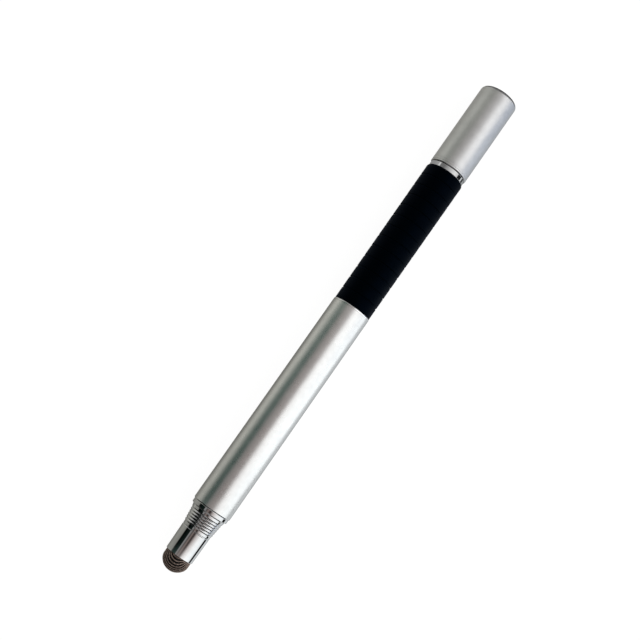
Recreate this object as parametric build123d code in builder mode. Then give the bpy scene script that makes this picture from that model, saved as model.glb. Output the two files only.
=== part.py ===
"""Two-ended touch-screen stylus: a conductive fibre tip at one end and a capped disc tip at the other.

The pen lies along X on the plane Z = 0, with the fibre tip towards -X and the cap towards +X.
Most pieces are turned, so their outlines are drawn as (station, radius) pairs, in millimetres.
A station is a distance along the pen's axis from the fibre tip's apex.
"""

import os
from math import atan2, cos, degrees, radians

from build123d import *

# Fits between pieces
press_gap = 0.02  # pressed, crimped, moulded or screwed together for good
turn_gap = 0.05  # turns or screws in its neighbour
cap_gap = 0.1  # cap liner on the nose it is pushed onto
seat_gap = 0.1  # cap mouth to the collar it stops against
ball_gap = 0.03  # ball in its liner, and liner in its socket

# Fibre tip
tip_radius = 3.2
tip_flattening = 0.45  # how much shorter the dome is than a half ball
tip_corner_share = 0.8  # of the dome's length, for the radius at its rim
tip_visible_length = 3.9
tip_tuck_depth = 0.3  # how far the full-width mesh goes into the ferrule's mouth
mesh_thickness = 0.3
crimp_thickness = 0.25
crimp_length = 1.0
crimp_inset = 0.3  # from the mesh's tuck to the crimp ring
post_head_radius = 1.5
post_head_length = 0.7
post_head_fillet = 0.15
post_neck_radius = 0.9
post_neck_length = 2.0
post_flange_length = 0.5
post_thread_radius = 1.25
post_thread_length = 4.0

# Ferrule that holds the fibre tip
ferrule_length = 11.35
ferrule_mouth_wall = 0.18
ferrule_mouth_chamfer = 0.1
ferrule_taper = 0.1  # radius gained over the smooth stretch
ferrule_shoulder_length = 1.05
ferrule_shoulder_taper = 0.3  # radius gained over the shoulder
ferrule_shoulder_step = 0.3  # from the shoulder's edge out to the end ring's
ridge_count = 5
ridge_pitch = 0.64
ridge_height = 0.13
ridge_step = 0.05  # from the last ridge's crest out to the shoulder
line_setback = 0.75  # from the first ridge to the fine turned line
line_width = 0.14
line_depth = 0.07
spigot_engagement = 4.0
spigot_chamfer = 0.3

# Ring between the ferrule and the barrel
end_ring_length = 0.95
end_ring_step = 0.2  # how far it stands inside the barrel's outline
end_ring_fillet = 0.18

# Barrel
barrel_diameter = 9.5
barrel_wall = 0.9
barrel_length = 55.0
barrel_chamfer = 0.2
bush_wall = 0.85
bush_length = 7.5
bush_recess = 0.4

# Coupler from the barrel to the grip
coupler_plug_length = 7.0
coupler_stud_length = 8.0
coupler_bore_radius = 1.2
coupler_chamfer = 0.3

# Grip
grip_step = 0.1  # how far it stands inside the barrel's outline where they meet
grip_flare = 0.15  # radius gained from the barrel to the cap
grip_thickness = 1.15
grip_length = 38.2
grip_core_wall = 0.8
grip_cap_end_fillet = 0.45
grip_barrel_end_fillet = 0.15
groove_count = 12
groove_width = 0.36
groove_depth = 0.16

# Collar between the grip and the cap
collar_length = 1.1
collar_step = 0.2  # how far it stands inside the cap's outline
collar_chamfer = 0.1

# Nose under the cap
nose_stud_length = 8.0
nose_neck_step = 0.3  # from the stud out to the neck that carries the collar
nose_spigot_length = 5.0
nose_spigot_chamfer = 0.3
nose_cone_length = 4.5
nose_tip_radius = 1.6
oring_section_radius = 0.4
oring_groove_width = 0.9
oring_clearance = 0.05  # how far the ring stays clear of the cap liner

# Disc tip
stem_radius = 0.95
stem_plug_length = 5.0
stem_collar_radius = 1.3
stem_collar_length = 1.0
stem_taper_length = 0.5
stem_neck_radius = 0.45
stem_reach = 4.0  # nose's end to the ball's centre
ball_radius = 1.0
ball_pin_depth = 0.3  # how far the stem runs past the ball's centre
ball_liner_thickness = 0.25
socket_lip_angle = 70.5  # degrees from the stem to the lips of the liner and the socket
hub_wall = 0.5
hub_front_wall = 0.27
disc_clearance = 0.6  # disc's rim to the cap liner it passes through
disc_thickness = 0.8
disc_front_wall = 0.4  # clear plastic in front of the hub
disc_boss_wall = 0.63
disc_boss_length = 0.7
disc_fillet = 0.15

# Cap, as thick as the barrel
cap_length = 22.4
cap_wall = 0.5
cap_end_thickness = 1.0
cap_crown = 0.3  # how far the closed end is domed
cap_fillet = 1.0
cap_mouth_chamfer = 0.15
liner_wall = 0.43
liner_length = 7.5
liner_inset = 0.6  # from the cap's mouth to the liner

# Radii that follow from those sizes
barrel_radius = barrel_diameter / 2
barrel_bore_radius = barrel_radius - barrel_wall
bush_radius = barrel_bore_radius - press_gap
bush_bore_radius = bush_radius - bush_wall
spigot_radius = bush_bore_radius - turn_gap
end_ring_radius = barrel_radius - end_ring_step
grip_barrel_end_radius = barrel_radius - grip_step
grip_radius = grip_barrel_end_radius + grip_flare
grip_core_radius = grip_radius - grip_thickness - press_gap
grip_core_bore_radius = grip_core_radius - grip_core_wall
stud_radius = grip_core_bore_radius - press_gap
cap_radius = barrel_radius
cap_bore_radius = cap_radius - cap_wall
liner_radius = cap_bore_radius - press_gap
liner_bore_radius = liner_radius - liner_wall
nose_spigot_radius = liner_bore_radius - cap_gap
collar_radius = cap_radius - collar_step
disc_radius = liner_bore_radius - disc_clearance

# Stations along the pen
mouth_station = tip_visible_length
ferrule_end = mouth_station + ferrule_length
barrel_start = ferrule_end + end_ring_length
barrel_end = barrel_start + barrel_length
grip_end = barrel_end + grip_length
collar_end = grip_end + collar_length
nose_spigot_end = collar_end + nose_spigot_length
nose_end = nose_spigot_end + nose_cone_length
ball_station = nose_end + stem_reach
cap_start = collar_end + seat_gap
cap_end = cap_start + cap_length

# Where the pen lies: on the plane Z = 0, with the middle of its length over the origin
axis_height = grip_radius
profile_plane = Plane(origin=(-cap_end / 2, 0, axis_height), x_dir=(1, 0, 0), z_dir=(0, -1, 0))
pen_axis = Axis(profile_plane.origin, profile_plane.x_dir)


def turn(*corners, mode=Mode.ADD):
    """Turns a straight-sided outline of (station, radius) corners about the pen's axis."""
    with BuildSketch(profile_plane) as outline:
        with BuildLine():
            Polyline(*corners, close=True)
        make_face()
    revolve(outline.sketch, axis=pen_axis, mode=mode)


def dome(inset):
    """Draws the fibre tip's dome, or a cover that lies evenly inside it, and returns its rim and apex.

    A tighter arc at the rim runs smoothly into a flatter arc at the crown.
    """
    corner = CenterArc(corner_centre, corner_radius - inset, 90, crown_angle - 90)
    crown = CenterArc(crown_centre, crown_radius - inset, crown_angle, 180 - crown_angle)
    return corner @ 0, crown @ 1


def rims(part, end):
    """The full circles at the fibre-tip end (0) or the cap end (-1) of a turned part, smallest first."""
    circles = part.edges().filter_by(GeomType.CIRCLE).filter_by(lambda edge: edge.is_closed)
    return circles.group_by(Axis.X)[end].sort_by(SortBy.RADIUS)


# Fibre tip: the dome's two arcs, which touch where the line through their centres meets them
dome_length = tip_radius - tip_flattening
corner_radius = tip_corner_share * dome_length
corner_centre = Vector(dome_length, tip_radius - corner_radius)
crown_radius = (dome_length**2 + tip_radius**2 - 2 * tip_radius * corner_radius) / (
    2 * (dome_length - corner_radius)
)
crown_centre = Vector(crown_radius, 0)
crown_angle = degrees(atan2(corner_centre.Y, corner_centre.X - crown_centre.X))

# Fibre tip: the knitted mesh cover, tucked in behind the dome and crimped
mesh_inner_radius = tip_radius - mesh_thickness
tuck_station = mouth_station + tip_tuck_depth
tip_seat_station = tuck_station + crimp_inset + crimp_length + crimp_inset + post_flange_length
mesh_skirt_end = tip_seat_station - post_flange_length
mesh_skirt_radius = tip_radius - crimp_thickness - press_gap
mesh_skirt_inner_radius = mesh_skirt_radius - mesh_thickness

with BuildPart() as tip_mesh:
    with BuildSketch(profile_plane):
        with BuildLine():
            outer_rim, outer_apex = dome(0)
            inner_rim, inner_apex = dome(mesh_thickness)
            Line(outer_apex, inner_apex)
            Polyline(
                outer_rim,
                (tuck_station, tip_radius),
                (tuck_station, mesh_skirt_radius),
                (mesh_skirt_end, mesh_skirt_radius),
                (mesh_skirt_end, mesh_skirt_inner_radius),
                (tuck_station - mesh_thickness, mesh_skirt_inner_radius),
                (tuck_station - mesh_thickness, mesh_inner_radius),
                inner_rim,
            )
        make_face()
    revolve(axis=pen_axis)

# Fibre tip: the soft core, moulded round the head of the post
core_radius = mesh_inner_radius - press_gap
core_neck_radius = mesh_skirt_inner_radius - press_gap
core_neck_start = tuck_station - mesh_thickness - press_gap
core_end = mesh_skirt_end - press_gap
post_neck_start = mesh_skirt_end - post_neck_length
post_head_start = post_neck_start - post_head_length

with BuildPart() as tip_core:
    with BuildSketch(profile_plane):
        with BuildLine():
            core_rim, core_apex = dome(mesh_thickness + press_gap)
            Polyline(
                core_rim,
                (core_neck_start, core_radius),
                (core_neck_start, core_neck_radius),
                (core_end, core_neck_radius),
                (core_end, post_neck_radius + press_gap),
                (post_neck_start + press_gap, post_neck_radius + press_gap),
                (post_neck_start + press_gap, post_head_radius + press_gap),
                (post_head_start - press_gap, post_head_radius + press_gap),
                (post_head_start - press_gap, 0),
                core_apex,
            )
        make_face()
    revolve(axis=pen_axis)

# Fibre tip: the headed post that screws into the ferrule
post_flange_radius = core_neck_radius
post_end = tip_seat_station + post_thread_length

with BuildPart() as tip_post:
    turn(
        (post_head_start, 0),
        (post_head_start, post_head_radius),
        (post_neck_start, post_head_radius),
        (post_neck_start, post_neck_radius),
        (mesh_skirt_end, post_neck_radius),
        (mesh_skirt_end, post_flange_radius),
        (tip_seat_station, post_flange_radius),
        (tip_seat_station, post_thread_radius),
        (post_end, post_thread_radius),
        (post_end, 0),
    )
    fillet(rims(tip_post, 0)[-1], radius=post_head_fillet)

# Fibre tip: the ring that crimps the mesh's skirt onto the core
crimp_start = tuck_station + crimp_inset

with BuildPart() as tip_crimp:
    turn(
        (crimp_start, mesh_skirt_radius + press_gap),
        (crimp_start, mesh_skirt_radius + crimp_thickness),
        (crimp_start + crimp_length, mesh_skirt_radius + crimp_thickness),
        (crimp_start + crimp_length, mesh_skirt_radius + press_gap),
    )

# Ferrule: a smooth taper, a fine turned line, a run of rounded ridges and a shoulder
mouth_bore_radius = tip_radius + press_gap
ferrule_mouth_radius = mouth_bore_radius + ferrule_mouth_wall
ferrule_smooth_radius = ferrule_mouth_radius + ferrule_taper
shoulder_start = ferrule_end - ferrule_shoulder_length
shoulder_end_radius = end_ring_radius - ferrule_shoulder_step
shoulder_start_radius = shoulder_end_radius - ferrule_shoulder_taper
ridge_start = shoulder_start - ridge_count * ridge_pitch
line_station = ridge_start - line_setback
ridge_end_radius = shoulder_start_radius - ridge_step - ridge_height
spigot_end = barrel_start + bush_recess + spigot_engagement
post_bore_radius = post_thread_radius + press_gap
post_bore_end = post_end + press_gap


def ridge_foot(index):
    """The (station, radius) where one ridge ends and the next begins."""
    rise = (ridge_end_radius - ferrule_smooth_radius) * index / ridge_count
    return (ridge_start + index * ridge_pitch, ferrule_smooth_radius + rise)


with BuildPart() as tip_ferrule:
    with BuildSketch(profile_plane):
        with BuildLine():
            Polyline(
                (mouth_station, mouth_bore_radius),
                (mouth_station, ferrule_mouth_radius),
                (line_station - line_width / 2, ferrule_smooth_radius),
                (line_station, ferrule_smooth_radius - line_depth),
                (line_station + line_width / 2, ferrule_smooth_radius),
                ridge_foot(0),
            )
            for index in range(ridge_count):
                SagittaArc(ridge_foot(index), ridge_foot(index + 1), ridge_height)
            Polyline(
                ridge_foot(ridge_count),
                (shoulder_start, shoulder_start_radius),
                (ferrule_end, shoulder_end_radius),
                (ferrule_end, spigot_radius),
                (spigot_end, spigot_radius),
                (spigot_end, 0),
                (post_bore_end, 0),
                (post_bore_end, post_bore_radius),
                (tip_seat_station, post_bore_radius),
                (tip_seat_station, mouth_bore_radius),
                (mouth_station, mouth_bore_radius),
            )
        make_face()
    revolve(axis=pen_axis)
    chamfer(rims(tip_ferrule, 0)[-1], length=ferrule_mouth_chamfer)
    chamfer(rims(tip_ferrule, -1)[-1], length=spigot_chamfer)

# End ring: the bright ring trapped between the ferrule's shoulder and the barrel
with BuildPart() as end_ring:
    turn(
        (ferrule_end, spigot_radius + turn_gap),
        (ferrule_end, end_ring_radius),
        (barrel_start, end_ring_radius),
        (barrel_start, spigot_radius + turn_gap),
    )
    fillet(rims(end_ring, 0)[-1], radius=end_ring_fillet)

# Barrel: a plain tube with its rims broken
with BuildPart() as barrel_tube:
    turn(
        (barrel_start, barrel_bore_radius),
        (barrel_start, barrel_radius),
        (barrel_end, barrel_radius),
        (barrel_end, barrel_bore_radius),
    )
    chamfer([rims(barrel_tube, 0)[-1], rims(barrel_tube, -1)[-1]], length=barrel_chamfer)

# End bush: pressed into the barrel, with the thread that takes the ferrule's spigot
bush_start = barrel_start + bush_recess

with BuildPart() as end_bush:
    turn(
        (bush_start, bush_bore_radius),
        (bush_start, bush_radius),
        (bush_start + bush_length, bush_radius),
        (bush_start + bush_length, bush_bore_radius),
    )

# Coupler: a plug in the barrel with a stud that screws into the grip's core
with BuildPart() as coupler:
    turn(
        (barrel_end - coupler_plug_length, coupler_bore_radius),
        (barrel_end - coupler_plug_length, bush_radius),
        (barrel_end, bush_radius),
        (barrel_end, stud_radius),
        (barrel_end + coupler_stud_length, stud_radius),
        (barrel_end + coupler_stud_length, coupler_bore_radius),
    )
    chamfer([rims(coupler, 0)[-1], rims(coupler, -1)[-1]], length=coupler_chamfer)

# Grip core: the tube under the rubber
with BuildPart() as grip_core:
    turn(
        (barrel_end, grip_core_bore_radius),
        (barrel_end, grip_core_radius),
        (grip_end, grip_core_radius),
        (grip_end, grip_core_bore_radius),
    )

# Grip sleeve: soft rubber with narrow grooves at an even pitch
grip_sleeve_bore_radius = grip_core_radius + press_gap
groove_pitch = grip_length / (groove_count + 1)
groove_flare = grip_flare / (groove_count + 1)
groove_places = [
    (barrel_end + groove_pitch * number, grip_barrel_end_radius + groove_flare * number)
    for number in range(1, groove_count + 1)
]

with BuildPart() as grip_sleeve:
    turn(
        (barrel_end, grip_sleeve_bore_radius),
        (barrel_end, grip_barrel_end_radius),
        (grip_end, grip_radius),
        (grip_end, grip_sleeve_bore_radius),
    )
    fillet(rims(grip_sleeve, 0)[-1], radius=grip_barrel_end_fillet)
    fillet(rims(grip_sleeve, -1)[-1], radius=grip_cap_end_fillet)
    with BuildSketch(profile_plane):
        with Locations(*groove_places):
            Rectangle(groove_width, 2 * groove_depth)
    revolve(axis=pen_axis, mode=Mode.SUBTRACT)

# Collar ring: the bright ring between the grip and the cap, clamped by the nose
nose_neck_radius = stud_radius + nose_neck_step

with BuildPart() as collar_ring:
    turn(
        (grip_end, nose_neck_radius + press_gap),
        (grip_end, collar_radius),
        (collar_end, collar_radius),
        (collar_end, nose_neck_radius + press_gap),
    )
    chamfer(rims(collar_ring, -1)[-1], length=collar_chamfer)

# Nose: screwed into the grip's core, carrying the cap on its spigot and the disc tip in its bore
oring_station = collar_end + nose_spigot_length / 2
oring_outer_radius = liner_bore_radius - oring_clearance
oring_groove_floor = oring_outer_radius - 2 * oring_section_radius - press_gap
stem_bore_radius = stem_radius + press_gap
stem_bore_end = nose_end - stem_plug_length - press_gap
cone_base_radius = nose_spigot_radius - nose_spigot_chamfer

with BuildPart() as nose_cone:
    turn(
        (grip_end - nose_stud_length, 0),
        (grip_end - nose_stud_length, stud_radius),
        (grip_end, stud_radius),
        (grip_end, nose_neck_radius),
        (collar_end, nose_neck_radius),
        (collar_end, nose_spigot_radius),
        (oring_station - oring_groove_width / 2, nose_spigot_radius),
        (oring_station - oring_groove_width / 2, oring_groove_floor),
        (oring_station + oring_groove_width / 2, oring_groove_floor),
        (oring_station + oring_groove_width / 2, nose_spigot_radius),
        (nose_spigot_end - nose_spigot_chamfer, nose_spigot_radius),
        (nose_spigot_end, cone_base_radius),
        (nose_end, nose_tip_radius),
        (nose_end, stem_bore_radius),
        (stem_bore_end, stem_bore_radius),
        (stem_bore_end, 0),
    )

# O-ring in the nose's groove, which holds the cap by friction
with BuildPart() as cap_oring:
    with BuildSketch(profile_plane):
        with Locations((oring_station, oring_outer_radius - oring_section_radius)):
            Circle(oring_section_radius)
    revolve(axis=pen_axis)

# Disc tip: the stem, plugged into the nose
ball_centre = profile_plane.from_local_coords((ball_station, 0, 0))
stem_collar_end = nose_end + stem_collar_length
stem_end = ball_station + ball_pin_depth

with BuildPart() as disc_stem:
    turn(
        (nose_end - stem_plug_length, 0),
        (nose_end - stem_plug_length, stem_radius),
        (nose_end, stem_radius),
        (nose_end, stem_collar_radius),
        (stem_collar_end, stem_collar_radius),
        (stem_collar_end + stem_taper_length, stem_neck_radius),
        (stem_end, stem_neck_radius),
        (stem_end, 0),
    )

# Disc tip: the drilled ball, pressed onto the stem's end
ball_start = ball_station - ball_radius
ball_bore_radius = stem_neck_radius + press_gap
ball_bore_end = stem_end + press_gap

with BuildPart() as pivot_ball:
    with Locations(ball_centre):
        Sphere(ball_radius)
    turn(
        (ball_start, 0),
        (ball_start, ball_bore_radius),
        (ball_bore_end, ball_bore_radius),
        (ball_bore_end, 0),
        mode=Mode.SUBTRACT,
    )

# Disc tip: the plastic liner that snaps over the ball
liner_cup_radius = ball_radius + ball_gap
liner_ball_radius = liner_cup_radius + ball_liner_thickness
lip_share = cos(radians(socket_lip_angle))
liner_lip_station = ball_station - liner_cup_radius * lip_share
liner_lip_plane = Plane(
    origin=profile_plane.from_local_coords((liner_lip_station, 0, 0)), z_dir=profile_plane.x_dir
)

with BuildPart() as ball_liner:
    with Locations(ball_centre):
        Sphere(liner_ball_radius)
        Sphere(liner_cup_radius, mode=Mode.SUBTRACT)
    split(bisect_by=liner_lip_plane, keep=Keep.TOP)

# Disc tip: the metal hub, whose socket holds the liner
socket_radius = liner_ball_radius + ball_gap
hub_radius = socket_radius + hub_wall
hub_start = ball_station - socket_radius * lip_share
hub_end = ball_station + socket_radius + hub_front_wall

with BuildPart() as disc_hub:
    turn((hub_start, 0), (hub_start, hub_radius), (hub_end, hub_radius), (hub_end, 0))
    with Locations(ball_centre):
        Sphere(socket_radius, mode=Mode.SUBTRACT)

# Disc tip: the clear disc, with a boss round the hub
disc_front = hub_end + press_gap + disc_front_wall
disc_back = disc_front - disc_thickness
disc_boss_start = disc_back - disc_boss_length
hub_pocket_radius = hub_radius + press_gap
disc_boss_radius = hub_pocket_radius + disc_boss_wall

with BuildPart() as clear_disc:
    turn(
        (disc_boss_start, hub_pocket_radius),
        (disc_boss_start, disc_boss_radius),
        (disc_back, disc_boss_radius),
        (disc_back, disc_radius),
        (disc_front, disc_radius),
        (disc_front, 0),
        (hub_end + press_gap, 0),
        (hub_end + press_gap, hub_pocket_radius),
    )
    fillet(rims(clear_disc, -1)[-1], radius=disc_fillet)

# Cap: a thin drawn shell with a rounded, slightly domed end
cap_floor_station = cap_end - cap_end_thickness
crown_edge_station = cap_end - cap_crown

with BuildPart() as cap_shell:
    with BuildSketch(profile_plane):
        with BuildLine():
            crown = TangentArc((cap_end, 0), (crown_edge_station, cap_radius), tangent=(0, 1))
            Polyline(
                crown @ 1,
                (cap_start, cap_radius),
                (cap_start, cap_bore_radius),
                (cap_floor_station, cap_bore_radius),
                (cap_floor_station, 0),
                crown @ 0,
            )
        make_face()
    revolve(axis=pen_axis)
    fillet(rims(cap_shell, -1)[-1], radius=cap_fillet)
    chamfer(rims(cap_shell, 0)[-1], length=cap_mouth_chamfer)

# Cap liner: the plastic sleeve inside the cap that slides on the nose
liner_start = cap_start + liner_inset

with BuildPart() as cap_liner:
    turn(
        (liner_start, liner_bore_radius),
        (liner_start, liner_radius),
        (liner_start + liner_length, liner_radius),
        (liner_start + liner_length, liner_bore_radius),
    )

os.makedirs("parts", exist_ok=True)
pieces = {
    "tip_mesh": tip_mesh,
    "tip_core": tip_core,
    "tip_post": tip_post,
    "tip_crimp": tip_crimp,
    "tip_ferrule": tip_ferrule,
    "end_ring": end_ring,
    "barrel_tube": barrel_tube,
    "end_bush": end_bush,
    "coupler": coupler,
    "grip_core": grip_core,
    "grip_sleeve": grip_sleeve,
    "collar_ring": collar_ring,
    "nose_cone": nose_cone,
    "cap_oring": cap_oring,
    "disc_stem": disc_stem,
    "pivot_ball": pivot_ball,
    "ball_liner": ball_liner,
    "disc_hub": disc_hub,
    "clear_disc": clear_disc,
    "cap_shell": cap_shell,
    "cap_liner": cap_liner,
}
for name, piece in pieces.items():
    piece.part.label = name
    export_step(piece.part, f"parts/{name}.step")
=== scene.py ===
"""The looks of a two-ended stylus pen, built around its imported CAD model.

Blender works in metres. The outlines here are in millimetres: a station along the pen's axis, counted
from the fibre tip's apex, and a radius.
"""

from math import acos, atan2, ceil, cos, degrees, pi, radians, sin, sqrt, tan

import bpy
from mathutils import Matrix, Vector


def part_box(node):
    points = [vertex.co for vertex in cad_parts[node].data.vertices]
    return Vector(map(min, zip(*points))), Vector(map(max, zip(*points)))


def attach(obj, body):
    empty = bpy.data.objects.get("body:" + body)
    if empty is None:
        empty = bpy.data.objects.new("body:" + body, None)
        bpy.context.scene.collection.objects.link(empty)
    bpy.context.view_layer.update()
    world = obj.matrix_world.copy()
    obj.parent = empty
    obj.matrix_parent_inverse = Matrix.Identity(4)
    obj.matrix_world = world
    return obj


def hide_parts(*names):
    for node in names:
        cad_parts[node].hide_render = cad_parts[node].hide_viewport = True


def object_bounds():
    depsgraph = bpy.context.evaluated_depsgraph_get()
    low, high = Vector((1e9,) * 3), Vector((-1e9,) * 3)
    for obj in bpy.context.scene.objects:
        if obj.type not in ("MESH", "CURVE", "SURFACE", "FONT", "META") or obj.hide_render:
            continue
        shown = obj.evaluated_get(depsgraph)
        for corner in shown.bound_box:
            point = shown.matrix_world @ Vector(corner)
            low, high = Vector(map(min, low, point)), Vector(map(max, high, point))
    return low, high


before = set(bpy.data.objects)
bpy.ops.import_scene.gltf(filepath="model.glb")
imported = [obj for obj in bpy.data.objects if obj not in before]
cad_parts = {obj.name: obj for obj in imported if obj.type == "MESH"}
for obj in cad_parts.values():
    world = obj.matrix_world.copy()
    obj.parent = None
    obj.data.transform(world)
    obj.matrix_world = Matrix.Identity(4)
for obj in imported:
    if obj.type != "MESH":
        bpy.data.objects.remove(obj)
cad_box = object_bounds()

MM = 0.001
SEGMENTS = 144  # around a turned piece
FILLET_STEP = radians(12)  # between two points of a rounded corner
STRAIGHT = radians(0.5)  # a corner that turns less than this isn't rounded
TINY = 1e-6  # a smaller radius is on the axis
tip_x = cad_box[0].x
axis_z = (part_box("barrel_tube")[0].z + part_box("barrel_tube")[1].z) / 2


def ends(node):
    """The stations where a CAD node starts and ends."""
    low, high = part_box(node)
    return (low.x - tip_x) / MM, (high.x - tip_x) / MM


def radius(node):
    """The largest radius of a CAD node."""
    low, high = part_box(node)
    return (high.y - low.y) / 2 / MM


def clamp(value, low=0, high=1):
    return max(low, min(high, value))


# Turned pieces


def rounded(corners, closed):
    """Rounds the corners of an outline.

    Takes (station, radius, fillet) corners with the outside on their left, and gives (station, radius,
    normal along the axis, normal away from it) points. An open outline starts and ends on the axis.
    """
    points = []
    count = len(corners)
    for index, (station, r, fillet) in enumerate(corners):
        if not closed and index in (0, count - 1):
            points.append((station, 0, 1 if index else -1, 0))
            continue
        here = Vector((station, r))
        into = here - Vector(corners[index - 1][:2])
        out = Vector(corners[(index + 1) % count][:2]) - here
        heading = atan2(into.y, into.x)
        turn = (atan2(out.y, out.x) - heading + pi) % (2 * pi) - pi
        if not fillet or abs(turn) < STRAIGHT:
            angle = heading + turn / 2
            points.append((station, r, -sin(angle), cos(angle)))
            continue
        side = 1 if turn > 0 else -1
        start = here - into.normalized() * fillet * tan(abs(turn) / 2)
        centre = start + side * fillet * Vector((-sin(heading), cos(heading)))
        steps = max(2, ceil(abs(turn) / FILLET_STEP))
        for step in range(steps + 1):
            angle = heading + turn * step / steps
            normal = Vector((-sin(angle), cos(angle)))
            point = centre - side * fillet * normal
            points.append((point.x, point.y, normal.x, normal.y))
    return points


def arc(centre, r, first, last, steps):
    """Corners of an arc round a (station, radius) centre. Angles are degrees from the cap's direction."""
    angles = [radians(first + (last - first) * step / steps) for step in range(steps + 1)]
    return [(centre[0] + r * cos(angle), centre[1] + r * sin(angle), 0) for angle in angles]


def groove(station, r, width, depth, fillet):
    """Corners of a groove, across an outline that runs towards the cap. Its floor is 2/5 of its width."""
    half, half_floor = width / 2, width / 5
    return [
        (station - half, r, fillet),
        (station - half_floor, r - depth, fillet),
        (station + half_floor, r - depth, fillet),
        (station + half, r, fillet),
    ]


def new_object(name, vertices, faces, material):
    mesh = bpy.data.meshes.new(name)
    mesh.from_pydata(vertices, [], faces)
    mesh.update()
    mesh.materials.append(material)
    piece = bpy.data.objects.new(name, mesh)
    bpy.context.scene.collection.objects.link(piece)
    return piece


def add_piece(name, vertices, faces, body, material):
    piece = new_object(name, vertices, faces, material)
    piece.data.shade_smooth()
    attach(piece, body)
    return piece


def lathe(name, corners, body, material, closed=True, relief=None, node=None):
    """Turns an outline about the pen's axis. relief(station, angle) is taken off the radius."""
    vertices, normals, rings = [], [], []
    for station, r, along, away in rounded(corners, closed):
        count = SEGMENTS if r > TINY else 1
        rings.append((len(vertices), count))
        for step in range(count):
            angle = 2 * pi * step / SEGMENTS
            reach = (r - relief(station, angle) if relief else r) * MM
            vertices.append((tip_x + station * MM, reach * sin(angle), axis_z + reach * cos(angle)))
            normals.append((along, away * sin(angle), away * cos(angle)))
    pairs = list(zip(rings, rings[1:]))
    if closed:
        pairs.append((rings[-1], rings[0]))
    faces = []
    for (first, first_count), (second, second_count) in pairs:
        for step in range(SEGMENTS):
            after = (step + 1) % SEGMENTS
            corner = [first + step % first_count, second + step % second_count]
            if second_count > 1:
                corner.append(second + after)
            if first_count > 1:
                corner.append(first + after)
            faces.append(corner)
    piece = add_piece(name, vertices, faces, body, material)
    if not relief:
        piece.data.normals_split_custom_set_from_vertices(normals)
    if node:
        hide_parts(node)
    return piece


def polish(piece, start, end, material):
    """Gives another material to a piece's faces between two stations."""
    piece.data.materials.append(material)
    for face in piece.data.polygons:
        if start < (face.center.x - tip_x) / MM < end:
            face.material_index = len(piece.data.materials) - 1


# Materials
EVEN = (1, 1, 1)
TURNED = (12, 1, 1)  # squeezes a pattern along the pen into fine turned lines
LENGTHWISE = (1, 3, 3)  # squeezes it across the pen into streaks along it
NOISE_RANGE = (0.3, 0.7)  # most of a noise pattern lies in it
SMUDGE_SCALE = 260
MOTTLE_SCALE = 900
METAL_SHADE = 0.93  # of a metal's colour, in its darker patches
MOTTLE_GRAINS = 3  # how many grains wide a dull material's mottles are
PATCH_GRAINS = 8  # and its rougher patches


def new_material(name, **values):
    """A material with constant values on its shader's sockets, written with _ for a space."""
    material = bpy.data.materials.new(name)
    material.use_nodes = True
    shader = material.node_tree.nodes["Principled BSDF"]
    for socket, value in values.items():
        shader.inputs[socket.replace("_", " ")].default_value = value
    return material, material.node_tree, shader


def grain(tree, scale, stretch=EVEN, detail=3.0):
    """Noise in the piece's own coordinates. scale is in features per metre."""
    coordinates = tree.nodes.new("ShaderNodeTexCoord")
    mapping = tree.nodes.new("ShaderNodeMapping")
    mapping.inputs["Scale"].default_value = stretch
    noise = tree.nodes.new("ShaderNodeTexNoise")
    noise.inputs["Scale"].default_value = scale
    noise.inputs["Detail"].default_value = detail
    tree.links.new(coordinates.outputs["Object"], mapping.inputs["Vector"])
    tree.links.new(mapping.outputs["Vector"], noise.inputs["Vector"])
    return noise.outputs["Fac"]


def vary(tree, source, socket, low, high):
    """Drives a shader value between low and high with a pattern."""
    spread = tree.nodes.new("ShaderNodeMapRange")
    spread.inputs["From Min"].default_value = NOISE_RANGE[0]
    spread.inputs["From Max"].default_value = NOISE_RANGE[1]
    spread.inputs["To Min"].default_value = low
    spread.inputs["To Max"].default_value = high
    tree.links.new(source, spread.inputs["Value"])
    tree.links.new(spread.outputs["Result"], socket)


def tint(tree, source, socket, dark, light):
    """Drives a colour between two shades with a pattern."""
    ramp = tree.nodes.new("ShaderNodeValToRGB")
    for stop, position, colour in zip(ramp.color_ramp.elements, NOISE_RANGE, (dark, light)):
        stop.position = position
        stop.color = (*colour, 1)
    tree.links.new(source, ramp.inputs["Fac"])
    tree.links.new(ramp.outputs["Color"], socket)


def bump(tree, source, shader, depth):
    """Raises a pattern by depth, in metres."""
    node = tree.nodes.new("ShaderNodeBump")
    node.inputs["Distance"].default_value = depth
    tree.links.new(source, node.inputs["Height"])
    tree.links.new(node.outputs["Normal"], shader.inputs["Normal"])


def metal(name, colour, roughness, grain_scale, grain_depth, stretch=EVEN):
    """Metal with fine grain, and smudges that change how sharply it reflects. roughness is a range."""
    material, tree, shader = new_material(name, Metallic=1.0)
    smudges = grain(tree, SMUDGE_SCALE, detail=4.0)
    mottle = grain(tree, MOTTLE_SCALE, stretch)
    darker = tuple(METAL_SHADE * value for value in colour)
    vary(tree, smudges, shader.inputs["Roughness"], *roughness)
    tint(tree, mottle, shader.inputs["Base Color"], darker, colour)
    bump(tree, grain(tree, grain_scale, stretch), shader, grain_depth)
    return material


def dull(name, dark, light, roughness, grain_scale, grain_depth, stretch=EVEN, **values):
    """Rubber, plastic or yarn: mottled colour and fine grain. roughness is a range."""
    material, tree, shader = new_material(name, **values)
    fine = grain(tree, grain_scale, stretch, detail=4.0)
    mottle = grain(tree, grain_scale / MOTTLE_GRAINS)
    patches = grain(tree, grain_scale / PATCH_GRAINS)
    vary(tree, patches, shader.inputs["Roughness"], *roughness)
    tint(tree, mottle, shader.inputs["Base Color"], dark, light)
    bump(tree, fine, shader, grain_depth)
    return material


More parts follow.
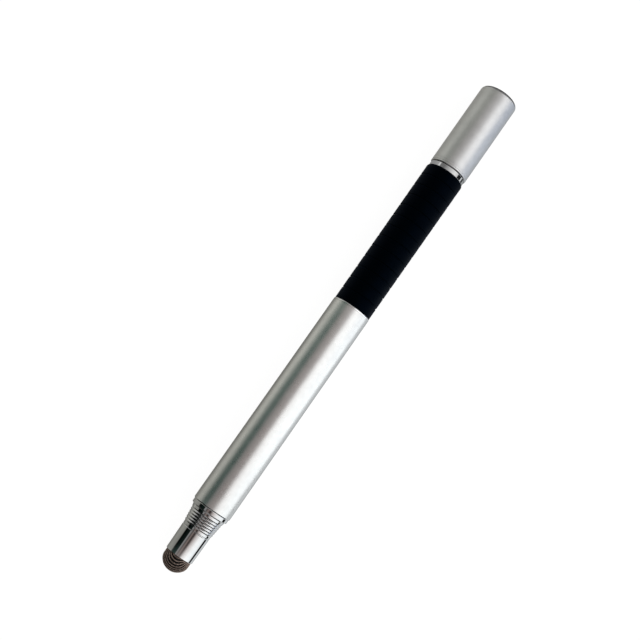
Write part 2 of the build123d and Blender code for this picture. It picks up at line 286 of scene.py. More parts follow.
# Metals: name, colour, range of roughness, and the grain's scale and depth
barrel_aluminium = metal("barrel_aluminium", (0.86, 0.86, 0.85), (0.25, 0.31), 9000, 1.2e-6)
cap_aluminium = metal("cap_aluminium", (0.80, 0.80, 0.80), (0.34, 0.42), 7000, 4e-6)
core_aluminium = metal("core_aluminium", (0.78, 0.78, 0.77), (0.25, 0.35), 5000, 3e-6, TURNED)
cut_edge = metal("cut_edge", (0.93, 0.93, 0.93), (0.08, 0.14), 6000, 6e-7, TURNED)
chrome = metal("chrome", (0.92, 0.92, 0.92), (0.02, 0.05), 3000, 4e-7)
brass = metal("brass", (0.76, 0.56, 0.26), (0.22, 0.32), 4000, 3e-6, TURNED)
steel = metal("steel", (0.62, 0.62, 0.63), (0.12, 0.2), 4000, 2e-6, TURNED)

# Rubber, yarn and plastic: name, dark and light shade, range of roughness, and the grain's scale and depth
grip_rubber = dull(
    "grip_rubber",
    (0.0001, 0.0005, 0.0003),
    (0.0002, 0.0008, 0.0005),
    (0.42, 0.54),
    6000,
    6e-6,
    Specular_IOR_Level=0.04,
    Specular_Tint=(0.1, 0.36, 1.0, 1),
    Sheen_Weight=0.025,
    Sheen_Roughness=0.5,
    Sheen_Tint=(0.03, 0.25, 1.0, 1),
)
tip_silicone = dull("tip_silicone", (0.02, 0.018, 0.018), (0.03, 0.028, 0.028), (0.55, 0.7), 4000, 5e-6)
# The knit's ground under the stitches: its near-black colour is painted shade for the gaps between them
knit_gap_painted_shade = dull(
    "knit_gap_painted_shade",
    (0.003, 0.002, 0.002),
    (0.007, 0.005, 0.0045),
    (0.6, 0.8),
    9000,
    1e-5,
    Specular_IOR_Level=0.2,
)
tip_yarn = dull(
    "tip_yarn",
    (0.26, 0.195, 0.165),
    (0.54, 0.42, 0.36),
    (0.25, 0.4),
    9000,
    1.5e-5,
    LENGTHWISE,
    Metallic=0.7,
)
white_plastic = dull("white_plastic", (0.74, 0.74, 0.72), (0.82, 0.82, 0.80), (0.35, 0.5), 5000, 4e-6)


def clear_plastic(name, dark, light, roughness, scuff_scale, scuff_depth):
    """Clear plastic with fine scuffs. roughness is a range."""
    material, tree, shader = new_material(name, Transmission_Weight=1.0, IOR=1.49)
    scuffs = grain(tree, scuff_scale, detail=5.0)
    vary(tree, scuffs, shader.inputs["Roughness"], *roughness)
    tint(tree, scuffs, shader.inputs["Base Color"], dark, light)
    bump(tree, scuffs, shader, scuff_depth)
    return material


disc_clear = clear_plastic("disc_clear", (0.93, 0.96, 0.97), (0.97, 0.99, 1.0), (0.02, 0.07), 1500, 1.5e-6)

# Fits and fillets that several pieces share
PRESS_GAP = 0.02  # between pieces pressed, moulded or screwed together for good
TURN_GAP = 0.05  # between pieces that turn in each other
BALL_GAP = 0.03  # from the ball to its liner, and from the liner to the hub
CRISP = 0.03  # fillet of a crisp edge
SHARP = 0.04  # of a slightly softer one
EDGE = 0.05  # of a plain one
SOFT = 0.1  # of a soft one

# Fibre tip: a dome with a tighter arc at its rim and a flatter one at its crown, as in the CAD
tip_flattening = 0.45  # how much shorter the dome is than a half ball
tip_corner_share = 0.8  # of the dome's length, for the radius at its rim
tip_tuck_depth = 0.3  # how far the full-width cover goes into the ferrule's mouth
tuck_fillet = 0.06
crimp_thickness = 0.25
cover_thickness = 0.3
yarn_depth = 0.16  # how far the cover lies under the outside of its knit
dome_steps = 32
tip_radius = radius("tip_mesh")
dome_length = tip_radius - tip_flattening
rim_radius = tip_corner_share * dome_length
crown_square = dome_length**2 + tip_radius**2 - 2 * tip_radius * rim_radius
crown_radius = crown_square / 2 / (dome_length - rim_radius)
crown_angle = atan2(tip_radius - rim_radius, crown_radius - dome_length)
crown_length = crown_radius * crown_angle
dome_arc = crown_length + rim_radius * (pi / 2 - crown_angle)
mouth, spigot_end = ends("tip_ferrule")
skirt_end = ends("tip_mesh")[1]
skirt_radius = radius("tip_crimp") - crimp_thickness - PRESS_GAP
tuck = mouth + tip_tuck_depth


def dome_point(length):
    """The station, radius and normal's lean from the axis, a length along the dome from its apex."""
    if length > dome_arc:
        return dome_length + length - dome_arc, tip_radius, pi / 2
    if length < crown_length:
        lean = length / crown_radius
        return crown_radius * (1 - cos(lean)), crown_radius * sin(lean), lean
    lean = crown_angle + (length - crown_length) / rim_radius
    return dome_length - rim_radius * cos(lean), tip_radius - rim_radius * (1 - sin(lean)), lean


def dome(inset):
    """Corners from the dome's apex to its rim, a little inside its surface."""
    corners = []
    for step in range(dome_steps + 1):
        station, r, lean = dome_point(dome_arc * step / dome_steps)
        corners.append((station + inset * cos(lean), r - inset * sin(lean), 0))
    return corners


# The cover's outline starts outside at the apex, goes round the skirt's end and comes back inside.
cover_outline = [
    *dome(yarn_depth),
    (tuck - PRESS_GAP, tip_radius - yarn_depth, tuck_fillet),
    (tuck - PRESS_GAP, skirt_radius, EDGE),
    (skirt_end, skirt_radius, EDGE),
    (skirt_end, skirt_radius - cover_thickness, EDGE),
    (tuck - cover_thickness, skirt_radius - cover_thickness, EDGE),
    (tuck - cover_thickness, tip_radius - cover_thickness, EDGE),
    *reversed(dome(cover_thickness)),
]
# The cover is near-black, as painted shade in the gaps between the stitches
tip_cover = lathe(
    "tip_cover", cover_outline, "fibre_tip", knit_gap_painted_shade, closed=False, node="tip_mesh"
)

# Fibre tip: the soft core in the cover, moulded on the headed post
post_head_radius = 1.5
post_head_length = 0.7
post_neck_radius = 0.9
post_low, post_high = ends("tip_post")
core_inset = cover_thickness + PRESS_GAP
core_end = skirt_end - PRESS_GAP
neck_start = post_low + post_head_length + PRESS_GAP
core_outline = [
    *dome(core_inset),
    (tuck - core_inset, tip_radius - core_inset, EDGE),
    (tuck - core_inset, skirt_radius - core_inset, EDGE),
    (core_end, skirt_radius - core_inset, EDGE),
    (core_end, post_neck_radius + PRESS_GAP, EDGE),
    (neck_start, post_neck_radius + PRESS_GAP, EDGE),
    (neck_start, post_head_radius + PRESS_GAP, EDGE),
    (post_low - PRESS_GAP, post_head_radius + PRESS_GAP, EDGE),
    (post_low - PRESS_GAP, 0, 0),
]
tip_core = lathe(
    "tip_core_pad", core_outline, "fibre_tip", tip_silicone, closed=False, node="tip_core"
)

# Fibre tip: the knit's rows of V-shaped stitches, in arcs that sag from the ferrule towards the apex
row_pitch = 0.70
first_row_offset = 0.84  # from the dome's rim to where the first row crosses the top
row_end_offset = 1.55  # from the dome's rim to the rows' ends, inside the ferrule's mouth
row_lean = radians(36)
row_steps = 160  # on each side of a row's middle
stitch_pitch = 0.34
leg_length = 0.42
leg_width = 0.15
leg_spread = 0.055
leg_lean = radians(20)
bead_rings = 5
bead_sides = 8
first_row = dome_arc + first_row_offset
row_end = dome_arc + row_end_offset


def row_points(crossing):
    """Points along a row of stitches: places on the surface, in millimetres from the apex, and normals there.

    The row crosses the top of the dome a length from its apex, or the underside if that is negative.
    """
    up = 1 if crossing > 0 else -1
    start = abs(crossing)
    lean = row_lean * start / first_row
    station, r, _ = dome_point(start)
    height = sin(lean) * station + cos(lean) * r
    points = []
    for step in range(-row_steps, row_steps + 1):
        share = step / row_steps
        station, r, slope = dome_point(start + (row_end - start) * share * share)
        level = (height - sin(lean) * station) / (cos(lean) * max(r, TINY))
        around = acos(clamp(level, -1, 1))
        around = around if share > 0 else -around
        out = Vector((-cos(slope), sin(slope) * sin(around), up * sin(slope) * cos(around)))
        points.append((Vector((station, r * sin(around), up * r * cos(around))), out))
    return points


def along_row(points, pitch):
    """Evenly spaced (place, normal, direction) frames along a row."""
    frames = []
    travelled = 0
    wanted = pitch / 2
    for (first, first_out), (second, second_out) in zip(points, points[1:]):
        step = (second - first).length
        while step > 0 and travelled + step >= wanted:
            share = (wanted - travelled) / step
            out = first_out.lerp(second_out, share).normalized()
            frames.append((first.lerp(second, share), out, (second - first).normalized()))
            wanted += pitch
        travelled += step
    return frames


def add_bead(vertices, faces, centre, axes):
    """Adds an ellipsoid with three half axes to a mesh."""
    base = len(vertices)
    vertices.append(centre - axes[0])
    for ring in range(1, bead_rings):
        slope = pi * ring / bead_rings
        for side in range(bead_sides):
            turn = 2 * pi * side / bead_sides
            across = axes[1] * cos(turn) + axes[2] * sin(turn)
            vertices.append(centre - axes[0] * cos(slope) + across * sin(slope))
    vertices.append(centre + axes[0])
    last = len(vertices) - 1
    top = last - bead_sides
    for side in range(bead_sides):
        after = (side + 1) % bead_sides
        faces.append((base, base + 1 + after, base + 1 + side))
        for ring in range(bead_rings - 2):
            low = base + 1 + ring * bead_sides
            high = low + bead_sides
            faces.append((low + side, low + after, high + after, high + side))
        faces.append((top + side, top + after, last))


def make_stitches():
    vertices, faces = [], []
    crossing = first_row
    while crossing > -first_row:
        for point, out, ahead in along_row(row_points(crossing), stitch_pitch):
            across = out.cross(ahead)
            for side in (-1, 1):
                leg = ahead * cos(leg_lean) + across * sin(leg_lean) * side
                centre = point + across * leg_spread * side - out * leg_width / 2
                half_axes = (leg * leg_length / 2, out.cross(leg) * leg_width / 2, out * leg_width / 2)
                add_bead(vertices, faces, centre, half_axes)
        crossing -= row_pitch
    place_in_pen = Matrix.Translation((tip_x, 0, axis_z)) @ Matrix.Scale(MM, 4)
    placed = [place_in_pen @ point for point in vertices]
    add_piece("tip_stitches", placed, faces, "fibre_tip", tip_yarn)


make_stitches()

# Ferrule: smooth taper, fine turned line, ridges, and a shoulder that ends in a chamfer
post_thread_radius = 1.25
post_flange_length = 0.5
mouth_wall = 0.18
ferrule_taper = 0.1  # radius gained over the smooth stretch
line_setback = 0.75  # from the first ridge to the fine line
fine_line = (0.34, 0.074, 0.02)  # width, depth and fillet
ridge_count = 5
ridge_pitch = 0.64
ridge_height = 0.13
ridge_gap = 0.02  # half the flat between two ridges
rising_length = 0.25  # from a ridge's start to its crest
falling_length = 0.2  # from the crest's end to the next ridge
crest_rise = 0.6  # share of the rise to the next ridge that the crest takes
crest_fillet = 0.04
shoulder_length = 1.05
shoulder_foot = 0.03  # from the last ridge's end to the shoulder's flank
shoulder_edge = 0.265  # from the last ridge's end to the shoulder's edge
shoulder_height = 0.17  # from the last ridge's foot out to the shoulder's edge
shoulder_taper = 0.14  # radius gained over the shoulder
shoulder_step = 0.38  # from the shoulder's end out to the end ring
chamfer_length = 0.2
chamfer_depth = 0.15
spigot_step = 1.62  # from the end ring's outside in to the spigot
thread_lead = 0.1  # how far the thread starts inside the end ring
thread_depth = 0.28
thread_inset = 0.02  # how far its crests stay inside the solid's plain spigot
ferrule_end, ring_end = ends("end_ring")
ring_radius = radius("end_ring")
seat = skirt_end + post_flange_length
mouth_bore = tip_radius + PRESS_GAP
smooth_radius = mouth_bore + mouth_wall + ferrule_taper
shoulder_end_radius = ring_radius - shoulder_step
shoulder_start_radius = shoulder_end_radius - shoulder_taper
shoulder_foot_radius = shoulder_start_radius - shoulder_height
shoulder_start = ferrule_end - shoulder_length
ridge_start = shoulder_start - ridge_count * ridge_pitch
ridge_rise = (shoulder_foot_radius - smooth_radius) / ridge_count
spigot_radius = ring_radius - spigot_step
spigot_core = spigot_radius - thread_depth - thread_inset
thread_start = ring_end - thread_lead


def ridges():
    corners = []
    for index in range(ridge_count):
        start = ridge_start + index * ridge_pitch
        end = start + ridge_pitch
        foot = smooth_radius + index * ridge_rise
        crest = foot + ridge_height
        corners += [
            (start + ridge_gap, foot, CRISP),
            (start + rising_length, crest, crest_fillet),
            (end - falling_length, crest + crest_rise * ridge_rise, crest_fillet),
            (end - ridge_gap, foot + ridge_rise, CRISP),
        ]
    return corners


ferrule_outline = [
    (post_high + PRESS_GAP, 0, 0),
    (post_high + PRESS_GAP, post_thread_radius + PRESS_GAP, EDGE),
    (seat, post_thread_radius + PRESS_GAP, EDGE),
    (seat, mouth_bore, EDGE),
    (mouth, mouth_bore, SHARP),
    (mouth, mouth_bore + mouth_wall, SOFT),
    *groove(ridge_start - line_setback, smooth_radius, *fine_line),
    *ridges(),
    (shoulder_start + shoulder_foot, shoulder_foot_radius, CRISP),
    (shoulder_start + shoulder_edge, shoulder_start_radius, EDGE),
    (ferrule_end - chamfer_length, shoulder_end_radius, EDGE),
    (ferrule_end, shoulder_end_radius - chamfer_depth, CRISP),
    (ferrule_end, spigot_radius, EDGE),
    (thread_start, spigot_radius, CRISP),
    (thread_start, spigot_core, CRISP),
    (spigot_end, spigot_core, EDGE),
    (spigot_end, 0, 0),
]
lathe("ferrule", ferrule_outline, "fibre_tip", chrome, closed=False, node="tip_ferrule")

# Ferrule: the spigot's thread, right-handed
thread_pitch = 1.0
thread_slope = 1.6  # how steeply a flank rises, in thread depths per half pitch
thread_root = 0.3  # how far below the root's flat the two flanks would meet, in thread depths
thread_runout = 0.5  # length over which it fades out at the spigot's end
thread_bite = 0.25  # how far its piece goes into the spigot
steps_per_turn = 14
thread_steps = round((spigot_end - thread_start) / thread_pitch * steps_per_turn)


def thread_cut(station, angle):
    """How far the thread's surface lies inside the solid's plain spigot."""
    phase = (station / thread_pitch + angle / (2 * pi)) % 1
    flank = clamp(thread_slope * abs(2 * phase - 1) - thread_root)
    fade = clamp((spigot_end - station) / thread_runout)
    return thread_inset + thread_depth * (1 - flank * fade)


thread_inside = spigot_radius - thread_depth - thread_bite
thread_outline = [(thread_start, thread_inside, 0)]
for step in range(thread_steps + 1):
    station = thread_start + (spigot_end - thread_start) * step / thread_steps
    thread_outline.append((station, spigot_radius, 0))
thread_outline.append((spigot_end, thread_inside, 0))
lathe("ferrule_thread", thread_outline, "fibre_tip", steel, relief=thread_cut)

# End ring
ring_barrel_fillet = 0.08
ring_bore = spigot_radius + TURN_GAP
ring_outline = [
    (ferrule_end, ring_bore, EDGE),
    (ferrule_end, ring_radius, SOFT),
    (ring_end, ring_radius, ring_barrel_fillet),
    (ring_end, ring_bore, EDGE),
]
lathe("end_ring_bright", ring_outline, "end_ring", chrome, node="end_ring")

# Barrel: bright cut metal at its ends, and a fine turned line next to the grip
barrel_wall = 0.9
barrel_chamfer = 0.2
barrel_grip_fillet = 0.3
barrel_line_setback = 0.55  # from the barrel's end
barrel_line = (0.1, 0.03, 0.02)  # width, depth and fillet
cut_length = 0.44  # of bright metal next to the grip
overshoot = 0.1  # past an end, to take in its face
barrel_start, barrel_end = ends("barrel_tube")
barrel_radius = radius("barrel_tube")
barrel_bore = barrel_radius - barrel_wall
barrel_outline = [
    (barrel_start, barrel_bore, EDGE),
    (barrel_start, barrel_radius - barrel_chamfer, CRISP),
    (barrel_start + barrel_chamfer, barrel_radius, SOFT),
    *groove(barrel_end - barrel_line_setback, barrel_radius, *barrel_line),
    (barrel_end - barrel_chamfer, barrel_radius, barrel_grip_fillet),
    (barrel_end, barrel_radius - barrel_chamfer, CRISP),
    (barrel_end, barrel_bore, EDGE),
]
barrel = lathe("barrel", barrel_outline, "handle", barrel_aluminium, node="barrel_tube")
polish(barrel, barrel_start - overshoot, barrel_start + barrel_chamfer, cut_edge)
polish(barrel, barrel_end - cut_length, barrel_end + overshoot, cut_edge)

# Grip: even grooves, and a slight flare towards the cap
grip_thickness = 1.15
grip_flare = 0.15
grip_barrel_end_fillet = 0.15
grip_cap_end_fillet = 0.45
groove_count = 12
grip_groove = (0.44, 0.16, 0.07)  # width, depth and fillet
grip_start, grip_end = ends("grip_sleeve")
grip_radius = radius("grip_sleeve")
grip_start_radius = grip_radius - grip_flare
grip_bore = grip_radius - grip_thickness
grip_outline = [(grip_start, grip_bore, EDGE), (grip_start, grip_start_radius, grip_barrel_end_fillet)]
for number in range(1, groove_count + 1):
    share = number / (groove_count + 1)
    groove_station = grip_start + (grip_end - grip_start) * share
    grip_outline += groove(groove_station, grip_start_radius + grip_flare * share, *grip_groove)
grip_outline += [(grip_end, grip_radius, grip_cap_end_fillet), (grip_end, grip_bore, EDGE)]
lathe("grip", grip_outline, "handle", grip_rubber, node="grip_sleeve")

# Collar
collar_wall = 1.42
collar_start, collar_end = ends("collar_ring")
collar_radius = radius("collar_ring")
collar_outline = [
    (collar_start, collar_radius - collar_wall, EDGE),
    (collar_start, collar_radius, SHARP),
    (collar_end, collar_radius, SOFT),
    (collar_end, collar_radius - collar_wall, EDGE),
]
lathe("collar_bright", collar_outline, "handle", chrome, node="collar_ring")

# Nose and O-ring
neck_step = 0.59  # from the nose's outside in to the neck that carries the collar
stud_step = 0.3  # from the neck in to the stud in the grip
stud_fillet = 0.2
nose_chamfer = 0.3
nose_chamfer_fillet = 0.08
cone_length = 4.5
nose_tip_radius = 1.6
nose_tip_fillet = 0.15
oring_section = 0.4
oring_sides = 24
oring_groove_width = 0.9
oring_groove_fillet = 0.1
stem_radius = 0.95
stem_plug_length = 5.0
nose_start, nose_end = ends("nose_cone")
nose_radius = radius("nose_cone")
neck_radius = nose_radius - neck_step
stud_radius = neck_radius - stud_step
cone_start = nose_end - cone_length
stem_bore = stem_radius + PRESS_GAP
stem_bore_floor = nose_end - stem_plug_length - PRESS_GAP
oring_station = sum(ends("cap_oring")) / 2
oring_radius = radius("cap_oring")
oring_floor = oring_radius - 2 * oring_section - PRESS_GAP
oring_groove_start = oring_station - oring_groove_width / 2
oring_groove_end = oring_station + oring_groove_width / 2
nose_outline = [
    (nose_start, 0, 0),
    (nose_start, stud_radius, stud_fillet),
    (collar_start, stud_radius, EDGE),
    (collar_start, neck_radius, EDGE),
    (collar_end, neck_radius, EDGE),
    (collar_end, nose_radius, EDGE),
    (oring_groove_start, nose_radius, EDGE),
    (oring_groove_start, oring_floor, oring_groove_fillet),
    (oring_groove_end, oring_floor, oring_groove_fillet),
    (oring_groove_end, nose_radius, EDGE),
    (cone_start - nose_chamfer, nose_radius, nose_chamfer_fillet),
    (cone_start, nose_radius - nose_chamfer, nose_chamfer_fillet),
    (nose_end, nose_tip_radius, nose_tip_fillet),
    (nose_end, stem_bore, EDGE),
    (stem_bore_floor, stem_bore, EDGE),
    (stem_bore_floor, 0, 0),
]
lathe("nose", nose_outline, "handle", chrome, closed=False, node="nose_cone")
oring_centre = (oring_station, oring_radius - oring_section)
oring_outline = arc(oring_centre, oring_section, 180, 360 / oring_sides - 180, oring_sides - 1)
lathe("nose_oring", oring_outline, "handle", grip_rubber, node="cap_oring")

# Disc tip: stem and ball
stem_collar_radius = 1.3
stem_collar_length = 1.0
stem_collar_fillet = 0.12
stem_taper_length = 0.5
stem_neck_radius = 0.45
stem_neck_fillet = 0.15
ball_steps = 40
stem_start, stem_end = ends("disc_stem")
collar_front = nose_end + stem_collar_length
stem_outline = [
    (stem_start, 0, 0),
    (stem_start, stem_radius, SOFT),
    (nose_end, stem_radius, CRISP),
    (nose_end, stem_collar_radius, stem_collar_fillet),
    (collar_front, stem_collar_radius, stem_collar_fillet),
    (collar_front + stem_taper_length, stem_neck_radius, stem_neck_fillet),
    (stem_end, stem_neck_radius, EDGE),
    (stem_end, 0, 0),
]
lathe("stem", stem_outline, "handle", steel, closed=False, node="disc_stem")

ball_radius = radius("pivot_ball")
ball_centre = (ends("pivot_ball")[1] - ball_radius, 0)
ball_bore = stem_neck_radius + PRESS_GAP
bore_lean = degrees(acos(ball_bore / ball_radius))
ball_outline = [
    (stem_end + PRESS_GAP, 0, 0),
    (stem_end + PRESS_GAP, ball_bore, CRISP),
    *arc(ball_centre, ball_radius, 90 + bore_lean, 0, ball_steps),
]
lathe("ball", ball_outline, "handle", steel, closed=False, node="pivot_ball")

# Disc tip: liner, hub and clear disc
socket_steps = 30
hub_front_fillet = 0.06
disc_boss_wall = 0.63
disc_boss_length = 0.7
disc_fillet = 0.15


def lip_angle(r, station):
    """The angle at which a ball round the pivot reaches a station."""
    return degrees(acos((station - ball_centre[0]) / r))


liner_start, liner_end = ends("ball_liner")
liner_outer = liner_end - ball_centre[0]
liner_inner = ball_radius + BALL_GAP
liner_outline = [
    *arc(ball_centre, liner_inner, 0, lip_angle(liner_inner, liner_start), socket_steps),
    *arc(ball_centre, liner_outer, lip_angle(liner_outer, liner_start), 0, socket_steps),
]
lathe(
    "liner_of_ball",
    liner_outline,
    "disc_liner",
    white_plastic,
    closed=False,
    node="ball_liner",
)

hub_start, hub_end = ends("disc_hub")
hub_radius = radius("disc_hub")
socket_radius = liner_outer + BALL_GAP
hub_outline = [
    *arc(ball_centre, socket_radius, 0, lip_angle(socket_radius, hub_start), socket_steps),
    (hub_start, hub_radius, SOFT),
    (hub_end, hub_radius, hub_front_fillet),
    (hub_end, 0, 0),
]
lathe("hub", hub_outline, "disc", steel, closed=False, node="disc_hub")

disc_start, disc_end = ends("clear_disc")
disc_radius = radius("clear_disc")
pocket_radius = hub_radius + PRESS_GAP
boss_radius = pocket_radius + disc_boss_wall
disc_outline = [
    (hub_end + PRESS_GAP, 0, 0),
    (hub_end + PRESS_GAP, pocket_radius, SHARP),
    (disc_start, pocket_radius, EDGE),
    (disc_start, boss_radius, disc_fillet),
    (disc_start + disc_boss_length, boss_radius, disc_fillet),
    (disc_start + disc_boss_length, disc_radius, disc_fillet),
    (disc_end, disc_radius, disc_fillet),
    (disc_end, 0, 0),
]
lathe("disc_window", disc_outline, "disc", disc_clear, closed=False, node="clear_disc")

# Cap: a slightly domed end, and fine turned lines next to its mouth
cap_wall = 0.5
cap_end_thickness = 1.0
cap_inside_fillet = 0.3
cap_mouth_chamfer = 0.15
cap_line_width = 0.12
cap_lines = ((0.5, 0.03), (1.05, 0.02))  # distance from the mouth, and depth
cap_crown = 0.3  # how far the closed end is domed
cap_fillet = 1.0
crown_rings = 10  # from the axis to the cap's side
crown_last_ring = 7  # the outermost one modelled, clear of the fillet
cap_start, cap_end = ends("cap_shell")
cap_radius = radius("cap_shell")
cap_bore = cap_radius - cap_wall
crown_bow = (cap_radius**2 + cap_crown**2) / 2 / cap_crown
cap_outline = [
    (cap_end - cap_end_thickness, 0, 0),
    (cap_end - cap_end_thickness, cap_bore, cap_inside_fillet),
    (cap_start, cap_bore, SHARP),
    (cap_start, cap_radius - cap_mouth_chamfer, CRISP),
    (cap_start + cap_mouth_chamfer, cap_radius, EDGE),
]
for line_distance, line_depth in cap_lines:
    cap_outline += groove(cap_start + line_distance, cap_radius, cap_line_width, line_depth, CRISP)
cap_outline.append((cap_end - cap_crown, cap_radius, cap_fillet))
for ring in range(crown_last_ring, -1, -1):
    r = cap_radius * ring / crown_rings
    cap_outline.append((cap_end - crown_bow + sqrt(crown_bow**2 - r**2), r, 0))
lathe("cap", cap_outline, "cap", cap_aluminium, closed=False, node="cap_shell")

# Cap: its liner
cap_liner_wall = 0.43
cap_liner_fillet = 0.12
cap_liner_start, cap_liner_end = ends("cap_liner")
cap_liner_radius = radius("cap_liner")
cap_liner_bore = cap_liner_radius - cap_liner_wall
cap_liner_outline = [
    (cap_liner_start, cap_liner_bore, cap_liner_fillet),
    (cap_liner_start, cap_liner_radius, EDGE),
    (cap_liner_end, cap_liner_radius, EDGE),
    (cap_liner_end, cap_liner_bore, cap_liner_fillet),
]
lathe("liner_of_cap", cap_liner_outline, "cap", white_plastic, node="cap_liner")

# CAD nodes inside the pen keep their shapes
for node, material in (
    ("tip_post", brass),
    ("tip_crimp", brass),
    ("end_bush", brass),
    ("coupler", brass),
    ("grip_core", core_aluminium),
):
    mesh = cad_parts[node].data
    mesh.materials.clear()
    mesh.materials.append(material)

# Camera, at the photograph's angle
IMAGE_PIXELS = 640
FOCAL_PIXELS = 1083
SENSOR_WIDTH = 36
CLIP_START = 0.01
azimuth = radians(-55.2)
elevation = radians(81.1)
distance = 0.247
target_x = -0.0017  # a point on the pen's axis
target_right = 16.0  # where it is in the picture, in pixels from the middle
target_up = -11.2
back = Vector((sin(azimuth) * cos(elevation), -cos(azimuth) * cos(elevation), sin(elevation)))
right = Vector((cos(azimuth), sin(azimuth), 0))
up = back.cross(right)
aim = Vector((target_x, 0, axis_z)) - (target_right * right + target_up * up) * distance / FOCAL_PIXELS
camera = bpy.data.objects.new("camera", bpy.data.cameras.new("camera"))
camera.data.sensor_width = SENSOR_WIDTH
camera.data.lens = FOCAL_PIXELS / IMAGE_PIXELS * SENSOR_WIDTH
camera.data.clip_start = CLIP_START
turned = Matrix((right, up, back)).transposed().to_4x4()
camera.matrix_world = Matrix.Translation(aim + back * distance) @ turned
bpy.context.scene.collection.objects.link(camera)
bpy.context.scene.camera = camera

# Studio: softboxes and dark flags in long bands beside the pen. A row gives a band's angle from overhead
# towards -Y, its brightness and its tint, and the bands run smoothly into each other. Each part of the pen
# has its own set over it.
NEUTRAL = (1, 1, 1)
WARM = (1, 0.9, 0.87)
BROWN = (1, 0.78, 0.72)
OLIVE = (1, 1, 0.92)
GREEN = (0.55, 1, 0.88)
COOL = (0.94, 0.98, 1)
BLUE = (0.69, 0.79, 1)
FERRULE_PANELS = [
    (-140, 0.20, OLIVE),
    (-108, 0.28, OLIVE),
    (-72, 0.21, OLIVE),
    (-66, 0.00, GREEN),
    (-31, 0.01, GREEN),
    (-26, 0.26, NEUTRAL),
    (-14, 0.07, WARM),
    (-4, 0.20, BROWN),
    (4, 0.05, BROWN),
    (12, 0.05, BROWN),
    (26, 0.48, WARM),
    (56, 0.98, NEUTRAL),
    (80, 1.06, COOL),
    (102, 0.87, COOL),
    (105, 0.00, COOL),
    (122, 0.00, COOL),
    (130, 0.73, COOL),
    (180, 0.31, COOL),
]
BARREL_PANELS = [
    (-130, 0.19, OLIVE),
    (-110, 0.42, OLIVE),
    (-90, 0.54, OLIVE),
    (-54, 0.10, GREEN),
    (-38, 0.10, GREEN),
    (-20, 0.25, WARM),
    (10, 0.39, WARM),
    (30, 1.25, NEUTRAL),
    (108, 1.48, COOL),
    (122, 0.70, COOL),
    (155, 0.52, COOL),
    (180, 0.20, NEUTRAL),
]
CAP_PANELS = [
    (-165, 0.18, NEUTRAL),
    (-146, 0.50, OLIVE),
    (-126, 0.28, OLIVE),
    (-72, 0.60, OLIVE),
    (-45, 0.44, OLIVE),
    (-28, 0.40, OLIVE),
    (12, 0.66, NEUTRAL),
    (40, 1.28, NEUTRAL),
    (56, 1.27, NEUTRAL),
    (80, 0.54, BLUE),
    (110, 0.49, BLUE),
    (150, 0.57, COOL),
    (165, 0.22, COOL),
]
COLLAR_PANELS = [
    (-100, 0.28, NEUTRAL),
    (-72, 0.35, NEUTRAL),
    (-66, 0.62, NEUTRAL),
    (-60, 0.62, NEUTRAL),
    (-56, 0.15, NEUTRAL),
    (-30, 0.15, NEUTRAL),
    (46, 0.81, NEUTRAL),
    (67, 0.61, NEUTRAL),
    (71, 0.01, COOL),
    (98, 0.01, COOL),
    (102, 0.67, COOL),
    (110, 0.67, COOL),
    (113, 0.01, COOL),
    (128, 0.06, COOL),
    (134, 0.40, COOL),
    (180, 0.11, COOL),
]
# Beyond the softboxes' ends: a lamp past the tip, and past the cap a pale wall, a dark room with one faint
# strip light, and two soft lamps straight ahead.
TIP_END_PANELS = [
    (-40, 0.01, NEUTRAL),
    (-15, 0.25, NEUTRAL),
    (15, 0.25, NEUTRAL),
    (40, 0.01, NEUTRAL),
]
CAP_END_PANELS = [
    (-125, 0.02, NEUTRAL),
    (-110, 0.40, NEUTRAL),
    (-75, 0.40, NEUTRAL),
    (-66, 0.15, NEUTRAL),
    (-31, 0.15, NEUTRAL),
    (-24, 0.90, NEUTRAL),
    (-12, 0.30, WARM),
    (16, 0.25, WARM),
    (26, 0.95, NEUTRAL),
    (110, 0.95, NEUTRAL),
    (125, 0.02, NEUTRAL),
]
DARK_ROOM = [
    (-108, 0.01, NEUTRAL),
    (-95, 0.22, NEUTRAL),
    (-60, 0.22, NEUTRAL),
    (-50, 0.01, NEUTRAL),
]
FAR_PANELS = [
    (-120, 0.04, NEUTRAL),
    (-70, 0.28, NEUTRAL),
    (-20, 0.06, NEUTRAL),
    (30, 0.06, NEUTRAL),
    (60, 0.34, COOL),
    (85, 0.34, COOL),
    (115, 0.05, NEUTRAL),
]
# The ferrule's set lies under the others, and each of them takes over from those before it in its window:
# rows of the direction's part along the pen, and the set's share of the light there.
STUDIO = [
    (BARREL_PANELS, [(-0.066, 0), (-0.055, 1)]),
    (CAP_PANELS, [(0.16, 0), (0.28, 1)]),
    (COLLAR_PANELS, [(0.280, 0), (0.286, 1), (0.312, 1), (0.318, 0)]),
    (BARREL_PANELS, [(-0.34, 0), (-0.30, 1), (-0.17, 1), (-0.14, 0)]),
    (TIP_END_PANELS, [(-0.62, 1), (-0.52, 0)]),
    (CAP_END_PANELS, [(0.54, 0), (0.60, 1)]),
    (DARK_ROOM, [(0.68, 0), (0.74, 1)]),
    (FAR_PANELS, [(0.86, 0), (0.92, 1)]),
]
world = bpy.data.worlds.new("studio")
world.use_nodes = True
bpy.context.scene.world = world
sky = world.node_tree


def sky_ramp(source, low, high, stops):
    """Colours by a value between low and high."""
    spread = sky.nodes.new("ShaderNodeMapRange")
    spread.inputs["From Min"].default_value = low
    spread.inputs["From Max"].default_value = high
    ramp = sky.nodes.new("ShaderNodeValToRGB")
    for index, (value, colour) in enumerate(stops):
        position = (value - low) / (high - low)
        stop = ramp.color_ramp.elements[index] if index < 2 else ramp.color_ramp.elements.new(position)
        stop.position = position
        stop.color = (*colour, 1)
    sky.links.new(source, spread.inputs["Value"])
    sky.links.new(spread.outputs["Result"], ramp.inputs["Fac"])
    return ramp.outputs["Color"]


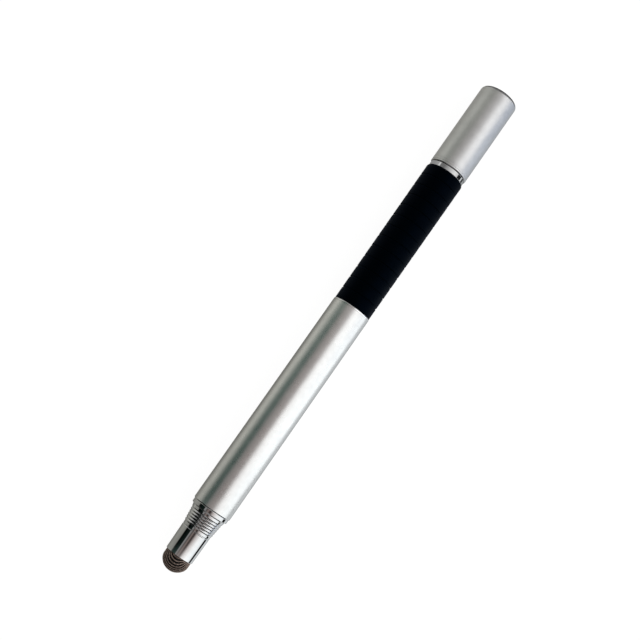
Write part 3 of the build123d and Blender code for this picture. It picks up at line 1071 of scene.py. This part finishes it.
def sky_mix(share, first, second):
    mix = sky.nodes.new("ShaderNodeMixRGB")
    sky.links.new(share, mix.inputs["Fac"])
    sky.links.new(first, mix.inputs["Color1"])
    sky.links.new(second, mix.inputs["Color2"])
    return mix.outputs["Color"]


direction = sky.nodes.new("ShaderNodeTexCoord")
split = sky.nodes.new("ShaderNodeSeparateXYZ")
sideways = sky.nodes.new("ShaderNodeMath")
sideways.operation = "ARCTAN2"
band_angle = sky.nodes.new("ShaderNodeMath")
band_angle.operation = "MULTIPLY"
band_angle.inputs[1].default_value = -degrees(1)
sky.links.new(direction.outputs["Generated"], split.inputs["Vector"])
sky.links.new(split.outputs["Y"], sideways.inputs[0])
sky.links.new(split.outputs["Z"], sideways.inputs[1])
sky.links.new(sideways.outputs["Value"], band_angle.inputs[0])


def panel_light(panels):
    bands = [(at, [level * part for part in colour]) for at, level, colour in panels]
    return sky_ramp(band_angle.outputs["Value"], -180, 180, bands)


light = panel_light(FERRULE_PANELS)
for panels, window in STUDIO:
    shares = [(along, (share, share, share)) for along, share in window]
    light = sky_mix(sky_ramp(split.outputs["X"], -1, 1, shares), light, panel_light(panels))
sky.links.new(light, sky.nodes["Background"].inputs["Color"])

# Stage: a pale floor, and a white surround that only the camera sees
WHITE = (1, 1, 1, 1)
FLOOR_GREY = (0.18, 0.18, 0.18, 1)
BLACK = (0, 0, 0, 1)
FLOOR_REACH = 2
FLOOR_LEVEL = -2e-5  # just under the pen
SURROUND_REACH = 3


def stage_piece(name, vertices, faces, **values):
    material, _, _ = new_material(name, **values)
    piece = new_object(name, vertices, faces, material)
    return piece


floor = stage_piece(
    "floor",
    [(FLOOR_REACH * x, FLOOR_REACH * y, FLOOR_LEVEL) for x, y in ((-1, -1), (1, -1), (1, 1), (-1, 1))],
    [(0, 1, 2, 3)],
    Base_Color=FLOOR_GREY,
    Roughness=0.9,
    Emission_Color=WHITE,
    Emission_Strength=0.95,
)
floor.visible_glossy = False
sides = (-SURROUND_REACH, SURROUND_REACH)
surround = stage_piece(
    "surround",
    [(x, y, z) for x in sides for y in sides for z in sides],
    [(0, 1, 3, 2), (4, 6, 7, 5), (0, 4, 5, 1), (2, 3, 7, 6), (0, 2, 6, 4), (1, 5, 7, 3)],
    Base_Color=BLACK,
    Emission_Color=WHITE,
    Emission_Strength=1.0,
)
surround.visible_diffuse = False
surround.visible_glossy = False
surround.visible_transmission = False
surround.visible_shadow = False
bpy.context.scene.view_settings.view_transform = "Standard"
